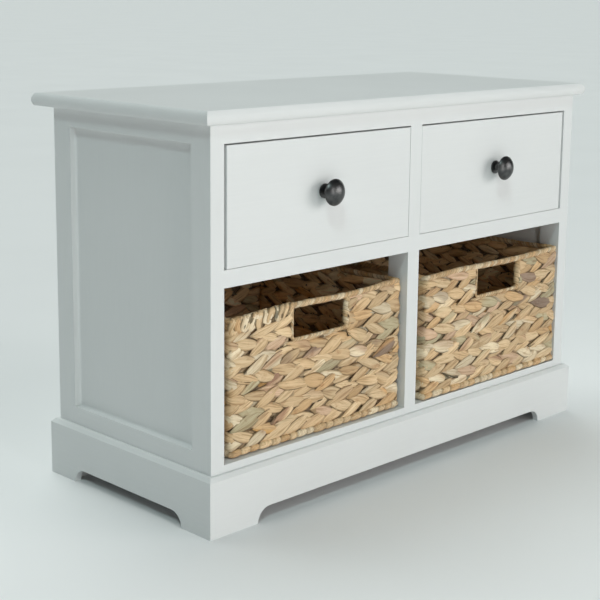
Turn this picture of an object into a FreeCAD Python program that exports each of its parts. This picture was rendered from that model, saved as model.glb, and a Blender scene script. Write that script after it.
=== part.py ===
import FreeCAD, Part
import math
import os
from FreeCAD import Vector

# Entryway bench: a painted wooden cabinet with two inset drawers over two open bays, each with a
# woven basket. Millimetres, +Z up, front towards -Y. The origin lies on the floor under the centre
# of the bench, midway between the knob fronts and the back edge of the top.

# ---- driving dimensions -------------------------------------------------------------------------
HEIGHT = 500.0
TOP_THICKNESS = 16.0
CARCASS_WIDTH = 707.0
CARCASS_DEPTH = 300.0
SIDE_OVERHANG = 14.0
FRONT_OVERHANG = 11.0
BACK_OVERHANG = 29.0
TOP_EDGE_INSET_UPPER = 4.3
TOP_EDGE_INSET_LOWER = 2.6
TOP_EDGE_NOSE_HEIGHT = 7.5
TOP_EDGE_ARRIS = 0.9

POST_FACE = 20.5
POST_DEPTH = 33.5
CENTRE_POST_FACE = 22.0
RAIL_DEPTH = 18.0
DRAWER_OPENING_TOP = 461.0
DRAWER_OPENING_BOTTOM = 316.0
BAY_TOP = 295.0
BAY_FLOOR = 83.0
BOTTOM_BOARD_THICKNESS = 16.0
LOW_RAIL_BOTTOM = 24.0

SIDE_RECESS = 9.0
SIDE_RECESS_BOTTOM = 97.5
SIDE_PANEL_THICKNESS = 6.0
PANEL_TONGUE = 6.0
BACK_PANEL_THICKNESS = 5.0
BACK_PANEL_REBATE = 10.0

PLINTH_THICKNESS = 9.0
PLINTH_HEIGHT = 74.0
PLINTH_CHAMFER = 4.5
FRONT_FOOT = 76.0
SIDE_FOOT = 52.0
ARCH_HEIGHT = 18.5
ARCH_CORNER_WIDTH = 20.0

RUNNER_WIDTH = 15.5
RUNNER_HEIGHT = 18.0
GUIDE_HEIGHT = 24.0
STOP_HEIGHT = 10.0
STOP_LENGTH = 12.0
KICKER_HEIGHT = 21.0

DRAWER_OUTER_GAP = 4.2
DRAWER_INNER_GAP = 0.6
DRAWER_TOP_GAP = 2.0
DRAWER_BOTTOM_GAP = 0.4
DRAWER_LENGTH = 265.0
DRAWER_FRONT_THICKNESS = 18.0
DRAWER_FRONT_EDGE_ROUND = 0.8
DRAWER_SIDE_THICKNESS = 12.0
DRAWER_SIDE_INSET = 0.5
DRAWER_SIDE_HEIGHT = 136.0
DRAWER_RUNNING_GAP = 0.3
DRAWER_BOTTOM_THICKNESS = 4.0
DRAWER_GROOVE_HEIGHT = 8.0
DRAWER_GROOVE_DEPTH = 5.0

KNOB_Z = 392.0
KNOB_PROJECTION = 27.0
KNOB_FLANGE_RADIUS = 9.0
KNOB_FLANGE_THICKNESS = 1.8
KNOB_NECK_RADIUS = 5.0
KNOB_NECK_START = 4.2
KNOB_NECK_END = 9.0
KNOB_HEAD_RADIUS = 16.5
KNOB_WAIST = 0.4
KNOB_FLARE_HOLLOW = 0.6
KNOB_HEAD_BAND = 1.6
KNOB_HEAD_EDGE = 18.5
KNOB_SCREW_RADIUS = 2.0
KNOB_SCREW_BITE = 10.0
KNOB_SCREW_HEAD_RADIUS = 4.2
KNOB_SCREW_HEAD_HEIGHT = 2.4

BASKET_WIDTH = 306.0
BASKET_DEPTH = 275.0
BASKET_HEIGHT = 176.0
BASKET_WALL = 12.0
BASKET_CORNER_RADIUS = 8.0
BASKET_INNER_RADIUS = 2.0
BASKET_LIFT = 0.4
BASKET_FOOT_HEIGHT = 9.0
BASKET_RIM_HEIGHT = 9.0
BASKET_FLOOR_THICKNESS = 8.0
BASKET_FLOOR_RAISE = 3.0
HANDLE_WIDTH = 88.0
HANDLE_HEIGHT = 38.0
HANDLE_BINDING = 7.0
WIRE_RADIUS = 2.0
UPRIGHT_RADIUS = 1.6
WIRE_BEND_RADIUS = 6.0
WIRE_CORNER_INSET = 24.0
LEFT_BASKET_SHIFT = 5.5
RIGHT_BASKET_SHIFT = 6.7
LEFT_BASKET_SETBACK = 5.0
RIGHT_BASKET_SETBACK = -2.0
LEFT_HANDLE_SHIFT = -4.0
RIGHT_HANDLE_SHIFT = 4.0

DOWEL_RADIUS = 3.0
DOWEL_BITE = 12.0
DOWEL_FRONT_SETBACK = 9.0
DOWEL_REAR_SETBACK = 24.5
DOWEL_SPREAD = 11.0
DRAWER_DOWEL_BITE = 8.0
DRAWER_DOWEL_PLACES = (0.25, 0.8)
SCREW_RADIUS = 2.0
SCREW_HEAD_RADIUS = 4.0
SCREW_HEAD_HEIGHT = 3.0
SCREW_BITE = 11.0
PIN_RADIUS = 0.9
PIN_LENGTH = 16.0
PIN_HEAD_RADIUS = 2.4
PIN_HEAD_HEIGHT = 0.8
PINS_UP_EACH_SIDE = 5
LOWEST_PIN_RAISE = 16.0
PINS_ACROSS_HALF = 2
PIN_PITCH_ACROSS = 148.0

# ---- derived places -----------------------------------------------------------------------------
LEFT = -CARCASS_WIDTH / 2
RIGHT = CARCASS_WIDTH / 2
FRONT = -(CARCASS_DEPTH + BACK_OVERHANG - KNOB_PROJECTION) / 2
BACK = FRONT + CARCASS_DEPTH
UNDERSIDE = HEIGHT - TOP_THICKNESS
BAY_LEFT = LEFT + POST_FACE
BAY_RIGHT = -CENTRE_POST_FACE / 2
BAY_WIDTH = BAY_RIGHT - BAY_LEFT
BAY_CENTRE = (BAY_LEFT + BAY_RIGHT) / 2
POST_BACK = FRONT + POST_DEPTH
REAR_POST_FRONT = BACK - POST_DEPTH
PANEL_INNER = LEFT + SIDE_RECESS + SIDE_PANEL_THICKNESS
REAR_RAIL_BACK = BACK - BACK_PANEL_THICKNESS
REAR_RAIL_FRONT = REAR_RAIL_BACK - RAIL_DEPTH
BOARD_BOTTOM = BAY_FLOOR - BOTTOM_BOARD_THICKNESS
TOP_RAIL_MIDDLE = (DRAWER_OPENING_TOP + UNDERSIDE) / 2
MID_RAIL_MIDDLE = (BAY_TOP + DRAWER_OPENING_BOTTOM) / 2
BACK_PANEL_BOTTOM = LOW_RAIL_BOTTOM + BACK_PANEL_REBATE
BACK_PANEL_TOP = UNDERSIDE - BACK_PANEL_REBATE

X_AXIS = Vector(1, 0, 0)
Y_AXIS = Vector(0, 1, 0)
Z_AXIS = Vector(0, 0, 1)


def block(x0, x1, y0, y1, z0, z1):
    """A rectangular piece between three pairs of planes."""
    return Part.makeBox(x1 - x0, y1 - y0, z1 - z0, Vector(x0, y0, z0))


def mirrored(shape):
    """The same piece on the other side of the bench."""
    return shape.mirror(Vector(0, 0, 0), X_AXIS)


def cut_all(shape, tools):
    """The piece with every tool's volume taken out of it."""
    for tool in tools:
        shape = shape.cut(tool)
    return shape


def rod(middle, axis, half_length, radius):
    """A round rod centred on a point."""
    return Part.makeCylinder(radius, 2 * half_length, middle - axis * half_length, axis)


def prism(points, direction):
    """A solid made by pushing a closed outline of straight lines along a direction."""
    return Part.Face(Part.makePolygon(points + [points[0]])).extrude(direction)


def rounded_plan(x0, x1, y0, y1, radius, z0, z1):
    """An upright block whose four vertical edges are rounded."""
    shape = block(x0, x1, y0, y1, z0, z1)
    upright = [edge for edge in shape.Edges if abs(edge.tangentAt(edge.FirstParameter).z) > 0.5]
    return shape.makeFillet(radius, upright)


# ---- top ----------------------------------------------------------------------------------------
def nosed_section(low, high, to_point, push):
    """A board section with a rounded nose at both ends, pushed along its length."""
    nose = UNDERSIDE + TOP_EDGE_NOSE_HEIGHT
    foot_low = to_point(low + TOP_EDGE_INSET_LOWER, UNDERSIDE)
    foot_high = to_point(high - TOP_EDGE_INSET_LOWER, UNDERSIDE)
    head_low = to_point(low + TOP_EDGE_INSET_UPPER, HEIGHT)
    head_high = to_point(high - TOP_EDGE_INSET_UPPER, HEIGHT)
    edges = [
        Part.LineSegment(foot_low, foot_high).toShape(),
        Part.Arc(foot_high, to_point(high, nose), head_high).toShape(),
        Part.LineSegment(head_high, head_low).toShape(),
        Part.Arc(head_low, to_point(low, nose), foot_low).toShape(),
    ]
    solid = Part.Face(Part.Wire(edges)).extrude(push)
    direction = Vector(push).normalize()
    arrises = [edge for edge in solid.Edges if abs(edge.tangentAt(edge.FirstParameter).dot(direction)) > 0.99]
    return solid.makeFillet(TOP_EDGE_ARRIS, arrises)


def top_board():
    """The seat board: its nosing runs round all four sides and mitres at the corners."""
    x0 = LEFT - SIDE_OVERHANG
    x1 = RIGHT + SIDE_OVERHANG
    y0 = FRONT - FRONT_OVERHANG
    y1 = BACK + BACK_OVERHANG
    along_y = nosed_section(x0, x1, lambda u, z: Vector(u, y0, z), Y_AXIS * (y1 - y0))
    along_x = nosed_section(y0, y1, lambda u, z: Vector(x0, u, z), X_AXIS * (x1 - x0))
    return along_y.common(along_x)


# ---- carcass frame ------------------------------------------------------------------------------
def left_side_panel():
    """The recessed panel; its edges stand in grooves in the posts and rails."""
    return block(
        LEFT + SIDE_RECESS, PANEL_INNER,
        POST_BACK - PANEL_TONGUE, REAR_POST_FRONT + PANEL_TONGUE,
        SIDE_RECESS_BOTTOM - PANEL_TONGUE, DRAWER_OPENING_TOP + PANEL_TONGUE,
    )


def back_panel():
    """The thin back, let into a rebate round the rear frame."""
    return block(
        LEFT + BACK_PANEL_REBATE, RIGHT - BACK_PANEL_REBATE,
        REAR_RAIL_BACK, BACK,
        BACK_PANEL_BOTTOM, BACK_PANEL_TOP,
    )


def left_frame():
    """Posts and rails of the left side, before grooves and holes."""
    inner = LEFT + POST_FACE
    y0 = POST_BACK
    y1 = REAR_POST_FRONT
    return {
        "front_post": block(LEFT, inner, FRONT, y0, 0, UNDERSIDE),
        "rear_post": block(LEFT, inner, y1, BACK, 0, UNDERSIDE),
        "side_top_rail": block(LEFT, inner, y0, y1, DRAWER_OPENING_TOP, UNDERSIDE),
        "side_bottom_rail": block(LEFT, inner, y0, y1, LOW_RAIL_BOTTOM, SIDE_RECESS_BOTTOM),
    }


def cross_frame():
    """The rails, board and post that tie the two sides together."""
    x0 = BAY_LEFT
    x1 = -BAY_LEFT
    return {
        "front_top_rail": block(x0, x1, FRONT, POST_BACK, DRAWER_OPENING_TOP, UNDERSIDE),
        "rear_top_rail": block(x0, x1, REAR_RAIL_FRONT, REAR_RAIL_BACK, DRAWER_OPENING_TOP, UNDERSIDE),
        "left_mid_rail": block(x0, BAY_RIGHT, FRONT, POST_BACK, BAY_TOP, DRAWER_OPENING_BOTTOM),
        "right_mid_rail": block(-BAY_RIGHT, x1, FRONT, POST_BACK, BAY_TOP, DRAWER_OPENING_BOTTOM),
        "rear_mid_rail": block(x0, x1, REAR_RAIL_FRONT, REAR_RAIL_BACK, BAY_TOP, DRAWER_OPENING_BOTTOM),
        "front_bottom_rail": block(x0, x1, FRONT, FRONT + RAIL_DEPTH, LOW_RAIL_BOTTOM, BOARD_BOTTOM),
        "rear_bottom_rail": block(x0, x1, REAR_RAIL_FRONT, REAR_RAIL_BACK, LOW_RAIL_BOTTOM, BOARD_BOTTOM),
        "bottom_board": block(x0, x1, FRONT, REAR_RAIL_BACK, BOARD_BOTTOM, BAY_FLOOR),
        "centre_post": block(BAY_RIGHT, -BAY_RIGHT, FRONT, POST_BACK, BAY_FLOOR, DRAWER_OPENING_TOP),
    }


# ---- plinth -------------------------------------------------------------------------------------
def arch(length, foot, to_point, push):
    """The cut-out under a plinth board, with a quarter-round cove at each foot."""
    low = -length / 2 + foot
    high = length / 2 - foot
    lean = ARCH_CORNER_WIDTH * (1 - math.sqrt(0.5))
    rise = ARCH_HEIGHT * math.sqrt(0.5)
    low_top = to_point(low + ARCH_CORNER_WIDTH, ARCH_HEIGHT)
    high_top = to_point(high - ARCH_CORNER_WIDTH, ARCH_HEIGHT)
    edges = [
        Part.Arc(to_point(low, 0), to_point(low + lean, rise), low_top).toShape(),
        Part.LineSegment(low_top, high_top).toShape(),
        Part.Arc(high_top, to_point(high - lean, rise), to_point(high, 0)).toShape(),
        Part.LineSegment(to_point(high, 0), to_point(low, 0)).toShape(),
    ]
    return Part.Face(Part.Wire(edges)).extrude(push)


def front_plinth():
    """The front plinth board, mitred at both ends and chamfered along its top."""
    outer = FRONT - PLINTH_THICKNESS
    half = RIGHT + PLINTH_THICKNESS
    plan = [Vector(-half, outer, 0), Vector(half, outer, 0), Vector(RIGHT, FRONT, 0), Vector(LEFT, FRONT, 0)]
    board = prism(plan, Z_AXIS * PLINTH_HEIGHT)
    chamfer = prism(
        [
            Vector(-half, outer, PLINTH_HEIGHT - PLINTH_CHAMFER),
            Vector(-half, outer, PLINTH_HEIGHT),
            Vector(-half, outer + PLINTH_CHAMFER, PLINTH_HEIGHT),
        ],
        X_AXIS * (2 * half),
    )
    cutout = arch(2 * half, FRONT_FOOT, lambda u, z: Vector(u, outer, z), Y_AXIS * PLINTH_THICKNESS)
    return cut_all(board, [chamfer, cutout])


def left_plinth():
    """The side plinth board, mitred to the front and back boards."""
    outer = LEFT - PLINTH_THICKNESS
    y0 = FRONT - PLINTH_THICKNESS
    y1 = BACK + PLINTH_THICKNESS
    middle = (FRONT + BACK) / 2
    plan = [Vector(outer, y1, 0), Vector(outer, y0, 0), Vector(LEFT, FRONT, 0), Vector(LEFT, BACK, 0)]
    board = prism(plan, Z_AXIS * PLINTH_HEIGHT)
    chamfer = prism(
        [
            Vector(outer, y0, PLINTH_HEIGHT - PLINTH_CHAMFER),
            Vector(outer, y0, PLINTH_HEIGHT),
            Vector(outer + PLINTH_CHAMFER, y0, PLINTH_HEIGHT),
        ],
        Y_AXIS * (y1 - y0),
    )
    cutout = arch(y1 - y0, SIDE_FOOT, lambda u, z: Vector(outer, middle + u, z), X_AXIS * PLINTH_THICKNESS)
    return cut_all(board, [chamfer, cutout])


def back_plinth():
    """The back plinth board, the front one turned to the rear of the carcass."""
    return front_plinth().mirror(Vector(0, (FRONT + BACK) / 2, 0), Y_AXIS)


# ---- drawer running gear ------------------------------------------------------------------------
def three_strips(side_x0, y1, z0, z1, spread):
    """A strip inside each side and one behind the centre post, all between the same heights."""
    side = block(side_x0, BAY_LEFT + spread, POST_BACK, y1, z0, z1)
    half = CENTRE_POST_FACE / 2 + spread
    centre = block(-half, half, POST_BACK, y1, z0, z1)
    return [side, centre, mirrored(side)]


def drawer_runners():
    """The strips that carry the lower edges of the drawer sides."""
    top = DRAWER_OPENING_BOTTOM
    return three_strips(BAY_LEFT, REAR_RAIL_FRONT, top - RUNNER_HEIGHT, top, RUNNER_WIDTH)


def drawer_guides():
    """The strips, flush with the posts, that keep the drawers running straight."""
    low = DRAWER_OPENING_BOTTOM
    return three_strips(PANEL_INNER, REAR_POST_FRONT, low, low + GUIDE_HEIGHT, 0)


def drawer_kickers():
    """The strips under the seat board that stop an open drawer tipping."""
    return three_strips(BAY_LEFT, REAR_RAIL_FRONT, UNDERSIDE - KICKER_HEIGHT, UNDERSIDE, RUNNER_WIDTH)


def drawer_stops():
    """Four small blocks on the runners that bring the drawer fronts flush."""
    y0 = FRONT + DRAWER_LENGTH
    z0 = DRAWER_OPENING_BOTTOM
    outer = block(BAY_LEFT, BAY_LEFT + RUNNER_WIDTH, y0, y0 + STOP_LENGTH, z0, z0 + STOP_HEIGHT)
    inner = block(BAY_RIGHT - RUNNER_WIDTH, BAY_RIGHT, y0, y0 + STOP_LENGTH, z0, z0 + STOP_HEIGHT)
    return [outer, inner, mirrored(inner), mirrored(outer)]


# ---- fasteners ----------------------------------------------------------------------------------
def left_frame_dowels():
    """Dowels between the left posts and every rail that meets them."""
    centre_x = LEFT + POST_FACE / 2
    low_rail_middle = (LOW_RAIL_BOTTOM + BOARD_BOTTOM) / 2
    rear_y = REAR_RAIL_BACK - RAIL_DEPTH / 2
    front_y = FRONT + DOWEL_FRONT_SETBACK
    dowels = []
    for joint_y in (POST_BACK, REAR_POST_FRONT):
        for z in (TOP_RAIL_MIDDLE, low_rail_middle, SIDE_RECESS_BOTTOM - DOWEL_SPREAD):
            dowels.append(rod(Vector(centre_x, joint_y, z), Y_AXIS, DOWEL_BITE, DOWEL_RADIUS))
    low_pair = (low_rail_middle - DOWEL_SPREAD, low_rail_middle + DOWEL_SPREAD)
    for z in (TOP_RAIL_MIDDLE, MID_RAIL_MIDDLE, *low_pair):
        for y in (front_y, rear_y):
            dowels.append(rod(Vector(BAY_LEFT, y, z), X_AXIS, DOWEL_BITE, DOWEL_RADIUS))
    runner_x = BAY_LEFT + RUNNER_WIDTH / 2
    for joint_y in (POST_BACK, REAR_RAIL_FRONT):
        dowels.append(rod(Vector(runner_x, joint_y, MID_RAIL_MIDDLE), Y_AXIS, DOWEL_BITE, DOWEL_RADIUS))
    return dowels


def centre_post_dowels():
    """Dowels at the head and foot of the centre post, and through it into both mid rails."""
    dowels = []
    for y in (FRONT + DOWEL_FRONT_SETBACK, FRONT + DOWEL_REAR_SETBACK):
        for z in (DRAWER_OPENING_TOP, BAY_FLOOR):
            dowels.append(rod(Vector(0, y, z), Z_AXIS, DOWEL_BITE, DOWEL_RADIUS))
    through = CENTRE_POST_FACE / 2 + DOWEL_BITE
    through_y = FRONT + DOWEL_FRONT_SETBACK
    dowels.append(rod(Vector(0, through_y, MID_RAIL_MIDDLE), X_AXIS, through, DOWEL_RADIUS))
    return dowels


def carcass_dowels():
    """All the beech dowels of the carcass."""
    left = left_frame_dowels()
    return left + [mirrored(dowel) for dowel in left] + centre_post_dowels()


def countersunk_screw(point):
    """A wood screw driven upwards, its head flush with the point it enters at."""
    head = Part.makeCone(SCREW_HEAD_RADIUS, SCREW_RADIUS, SCREW_HEAD_HEIGHT, point, Z_AXIS)
    length = UNDERSIDE - DRAWER_OPENING_TOP + SCREW_BITE
    shank = Part.makeCylinder(SCREW_RADIUS, length, point, Z_AXIS)
    return head.fuse(shank).removeSplitter()


def top_screws():
    """Screws up through the top rails that hold the seat board down."""
    places_x = (-BAY_CENTRE / 2, -BAY_CENTRE * 3 / 2)
    screws = []
    for x in places_x:
        for y in (FRONT + DOWEL_REAR_SETBACK, REAR_RAIL_BACK - RAIL_DEPTH / 2):
            for sign in (-1, 1):
                screws.append(countersunk_screw(Vector(sign * x, y, DRAWER_OPENING_TOP)))
    return screws


def back_pin(x, z):
    """A round-headed panel pin through the back."""
    shank = Part.makeCylinder(PIN_RADIUS, PIN_LENGTH, Vector(x, BACK, z), -Y_AXIS)
    head = Part.makeCylinder(PIN_HEAD_RADIUS, PIN_HEAD_HEIGHT, Vector(x, BACK, z), Y_AXIS)
    return shank.fuse(head)


def back_panel_pins():
    """Pins round the edge of the back panel and along the middle rail."""
    side_x = LEFT + (BACK_PANEL_REBATE + POST_FACE) / 2
    pins = []
    pitch_up = (BACK_PANEL_TOP - BAY_FLOOR) / PINS_UP_EACH_SIDE
    for step in range(PINS_UP_EACH_SIDE):
        z = BAY_FLOOR + LOWEST_PIN_RAISE + step * pitch_up
        for x in (side_x, -side_x):
            pins.append(back_pin(x, z))
    for step in range(-PINS_ACROSS_HALF, PINS_ACROSS_HALF + 1):
        x = step * PIN_PITCH_ACROSS
        pins.append(back_pin(x, (DRAWER_OPENING_TOP + BACK_PANEL_TOP) / 2))
        pins.append(back_pin(x, MID_RAIL_MIDDLE))
        pins.append(back_pin(x, PLINTH_HEIGHT + 2 * PIN_HEAD_RADIUS))
    return pins


# ---- drawers ------------------------------------------------------------------------------------
def drawer_places():
    """The planes between which the left drawer's front lies."""
    return {
        "x0": BAY_LEFT + DRAWER_OUTER_GAP,
        "x1": BAY_RIGHT - DRAWER_INNER_GAP,
        "z0": DRAWER_OPENING_BOTTOM + DRAWER_BOTTOM_GAP,
        "z1": DRAWER_OPENING_TOP - DRAWER_TOP_GAP,
        "back_of_front": FRONT + DRAWER_FRONT_THICKNESS,
        "end": FRONT + DRAWER_LENGTH - DRAWER_RUNNING_GAP,
        "side_bottom": DRAWER_OPENING_BOTTOM + DRAWER_RUNNING_GAP,
    }


def drawer_front(p):
    """The inset front, with eased edges on its face."""
    board = block(p["x0"], p["x1"], FRONT, p["back_of_front"], p["z0"], p["z1"])
    face_edges = [edge for edge in board.Edges if abs(edge.CenterOfMass.y - FRONT) < DRAWER_RUNNING_GAP]
    return board.makeFillet(DRAWER_FRONT_EDGE_ROUND, face_edges)


def drawer_dowels(p):
    """Dowels from each drawer side into the front and into the back."""
    centre_y = p["end"] - DRAWER_SIDE_THICKNESS / 2
    left_x = p["x0"] + DRAWER_SIDE_INSET + DRAWER_SIDE_THICKNESS / 2
    right_x = p["x1"] - DRAWER_SIDE_INSET - DRAWER_SIDE_THICKNESS / 2
    dowels = []
    for share in DRAWER_DOWEL_PLACES:
        z = p["side_bottom"] + share * DRAWER_SIDE_HEIGHT
        for x, inward in ((left_x, 1), (right_x, -1)):
            dowels.append(rod(Vector(x, p["back_of_front"], z), Y_AXIS, DRAWER_DOWEL_BITE, DOWEL_RADIUS))
            inner_face = Vector(x + inward * DRAWER_SIDE_THICKNESS / 2, centre_y, z)
            dowels.append(rod(inner_face, X_AXIS, DRAWER_DOWEL_BITE, DOWEL_RADIUS))
    return dowels


def knob_turning(x):
    """The knob up to the edge of its head: flange, waisted neck and flared underside."""
    def at(radius, out):
        return Vector(x + radius, FRONT - out, KNOB_Z)

    head_back = KNOB_HEAD_EDGE - KNOB_HEAD_BAND
    neck_middle = (KNOB_NECK_START + KNOB_NECK_END) / 2
    flare_radius = (KNOB_NECK_RADIUS + KNOB_HEAD_RADIUS) / 2
    flare_out = (KNOB_NECK_END + head_back) / 2 + KNOB_FLARE_HOLLOW
    edges = [
        Part.LineSegment(at(0, 0), at(KNOB_FLANGE_RADIUS, 0)).toShape(),
        Part.LineSegment(at(KNOB_FLANGE_RADIUS, 0), at(KNOB_FLANGE_RADIUS, KNOB_FLANGE_THICKNESS)).toShape(),
        Part.LineSegment(
            at(KNOB_FLANGE_RADIUS, KNOB_FLANGE_THICKNESS), at(KNOB_NECK_RADIUS, KNOB_NECK_START),
        ).toShape(),
        Part.Arc(
            at(KNOB_NECK_RADIUS, KNOB_NECK_START), at(KNOB_NECK_RADIUS - KNOB_WAIST, neck_middle),
            at(KNOB_NECK_RADIUS, KNOB_NECK_END),
        ).toShape(),
        Part.Arc(
            at(KNOB_NECK_RADIUS, KNOB_NECK_END), at(flare_radius, flare_out), at(KNOB_HEAD_RADIUS, head_back),
        ).toShape(),
        Part.LineSegment(at(KNOB_HEAD_RADIUS, head_back), at(KNOB_HEAD_RADIUS, KNOB_HEAD_EDGE)).toShape(),
        Part.LineSegment(at(KNOB_HEAD_RADIUS, KNOB_HEAD_EDGE), at(0, KNOB_HEAD_EDGE)).toShape(),
        Part.LineSegment(at(0, KNOB_HEAD_EDGE), at(0, 0)).toShape(),
    ]
    return Part.Face(Part.Wire(edges)).revolve(Vector(x, FRONT, KNOB_Z), Y_AXIS, 360)


def knob_dome(x):
    """The domed front of the knob, a cap cut from a ball."""
    rise = KNOB_PROJECTION - KNOB_HEAD_EDGE
    ball_radius = (KNOB_HEAD_RADIUS ** 2 + rise ** 2) / (2 * rise)
    ball_centre = Vector(x, FRONT - KNOB_PROJECTION + ball_radius, KNOB_Z)
    ball = Part.makeSphere(ball_radius, ball_centre, -Y_AXIS)
    slice_start = Vector(x, FRONT - KNOB_HEAD_EDGE, KNOB_Z)
    return ball.common(Part.makeCylinder(ball_radius, rise, slice_start, -Y_AXIS))


def knob(x):
    """A mushroom knob in one piece."""
    return knob_turning(x).fuse(knob_dome(x)).removeSplitter()


def knob_screw(x):
    """The machine screw that holds the knob from inside the drawer."""
    inside = FRONT + DRAWER_FRONT_THICKNESS
    start = Vector(x, inside, KNOB_Z)
    shank = Part.makeCylinder(KNOB_SCREW_RADIUS, DRAWER_FRONT_THICKNESS + KNOB_SCREW_BITE, start, -Y_AXIS)
    head = Part.makeCylinder(KNOB_SCREW_HEAD_RADIUS, KNOB_SCREW_HEAD_HEIGHT, start, Y_AXIS)
    return shank.fuse(head)


def left_drawer():
    """Every piece of the left drawer."""
    p = drawer_places()
    centre_x = (p["x0"] + p["x1"]) / 2
    side_x0 = p["x0"] + DRAWER_SIDE_INSET
    side_x1 = p["x1"] - DRAWER_SIDE_INSET
    side_top = p["side_bottom"] + DRAWER_SIDE_HEIGHT
    floor_z = p["side_bottom"] + DRAWER_GROOVE_HEIGHT
    floor_top = floor_z + DRAWER_BOTTOM_THICKNESS
    inner_x0 = side_x0 + DRAWER_SIDE_THICKNESS
    inner_x1 = side_x1 - DRAWER_SIDE_THICKNESS
    floor = block(
        inner_x0 - DRAWER_GROOVE_DEPTH, inner_x1 + DRAWER_GROOVE_DEPTH,
        p["back_of_front"] - DRAWER_GROOVE_DEPTH, p["end"],
        floor_z, floor_top,
    )
    outer_side = block(side_x0, inner_x0, p["back_of_front"], p["end"], p["side_bottom"], side_top)
    inner_side = block(inner_x1, side_x1, p["back_of_front"], p["end"], p["side_bottom"], side_top)
    back = block(inner_x0, inner_x1, p["end"] - DRAWER_SIDE_THICKNESS, p["end"], floor_top, side_top)
    dowels = drawer_dowels(p)
    screw = knob_screw(centre_x)
    return {
        "drawer_front": cut_all(drawer_front(p), dowels + [floor, screw]),
        "drawer_outer_side": cut_all(outer_side, dowels + [floor]),
        "drawer_inner_side": cut_all(inner_side, dowels + [floor]),
        "drawer_back": cut_all(back, dowels),
        "drawer_bottom": floor,
        "drawer_dowels": Part.makeCompound(dowels),
        "drawer_knob": knob(centre_x).cut(screw),
        "drawer_knob_screw": screw,
    }


# ---- baskets ------------------------------------------------------------------------------------
def wire_ring(places, z):
    """One loop of wire round the basket, straight along the walls with round corners."""
    inset = BASKET_WALL / 2
    x0 = places["x0"] + inset
    x1 = places["x1"] - inset
    y0 = places["y0"] + inset
    y1 = places["y1"] - inset
    plan = rounded_plan(x0, x1, y0, y1, WIRE_BEND_RADIUS, z, z + WIRE_RADIUS)
    path = min(plan.Faces, key=lambda face: face.CenterOfMass.z).OuterWire
    middle = Vector((x0 + x1) / 2, y0, z)
    section = Part.Wire(Part.makeCircle(WIRE_RADIUS, middle, X_AXIS))
    return path.makePipeShell([section], True, True)


def wire_frame(places):
    """Top and bottom loops joined by uprights, hidden inside the weave."""
    inset = BASKET_WALL / 2
    low = places["z0"] + BASKET_FOOT_HEIGHT / 2
    high = places["z1"] - BASKET_RIM_HEIGHT / 2
    corner_low = places["x0"] + WIRE_CORNER_INSET
    corner_high = places["x1"] - WIRE_CORNER_INSET
    post = HANDLE_WIDTH / 2 + HANDLE_BINDING / 2
    front = [corner_low, places["handle"] - post, places["handle"] + post, corner_high]
    back = [corner_low, (corner_low + corner_high) / 2, corner_high]
    frame = wire_ring(places, low).fuse(wire_ring(places, high))
    for y, row in ((places["y0"] + inset, front), (places["y1"] - inset, back)):
        for x in row:
            frame = frame.fuse(Part.makeCylinder(UPRIGHT_RADIUS, high - low, Vector(x, y, low), Z_AXIS))
    return frame


def basket_ring(places, z0, z1):
    """A band round the basket, as thick as its walls."""
    x0 = places["x0"]
    x1 = places["x1"]
    y0 = places["y0"]
    y1 = places["y1"]
    outer = rounded_plan(x0, x1, y0, y1, BASKET_CORNER_RADIUS, z0, z1)
    wall = BASKET_WALL
    inner = rounded_plan(x0 + wall, x1 - wall, y0 + wall, y1 - wall, BASKET_INNER_RADIUS, z0, z1)
    return outer.cut(inner)


def basket(places):
    """Every piece of one basket."""
    foot_top = places["z0"] + BASKET_FOOT_HEIGHT
    rim_bottom = places["z1"] - BASKET_RIM_HEIGHT
    sill = rim_bottom - HANDLE_HEIGHT
    hole_x0 = places["handle"] - HANDLE_WIDTH / 2
    hole_x1 = places["handle"] + HANDLE_WIDTH / 2
    front_y0 = places["y0"]
    front_y1 = places["y0"] + BASKET_WALL
    notch = block(
        hole_x0 - HANDLE_BINDING, hole_x1 + HANDLE_BINDING,
        front_y0, front_y1,
        sill - HANDLE_BINDING, rim_bottom,
    )
    hole = block(hole_x0, hole_x1, front_y0, front_y1, sill, rim_bottom)
    wires = wire_frame(places)
    inset = BASKET_WALL
    floor_z0 = places["z0"] + BASKET_FLOOR_RAISE
    floor = rounded_plan(
        places["x0"] + inset, places["x1"] - inset, places["y0"] + inset, places["y1"] - inset,
        BASKET_INNER_RADIUS, floor_z0, floor_z0 + BASKET_FLOOR_THICKNESS,
    )
    return {
        "basket_walls": basket_ring(places, foot_top, rim_bottom).cut(notch).cut(wires),
        "basket_rim": basket_ring(places, rim_bottom, places["z1"]).cut(wires),
        "basket_foot": basket_ring(places, places["z0"], foot_top).cut(wires),
        "basket_floor": floor,
        "basket_handle_binding": notch.cut(hole).cut(wires),
        "basket_wire_frame": wires,
    }


def basket_places(centre_x, setback, handle_shift):
    """The planes that bound one basket, and the middle of its handle hole."""
    z0 = BAY_FLOOR + BASKET_LIFT
    return {
        "x0": centre_x - BASKET_WIDTH / 2,
        "x1": centre_x + BASKET_WIDTH / 2,
        "y0": FRONT + setback,
        "y1": FRONT + setback + BASKET_DEPTH,
        "z0": z0,
        "z1": z0 + BASKET_HEIGHT,
        "handle": centre_x + handle_shift,
    }


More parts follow.
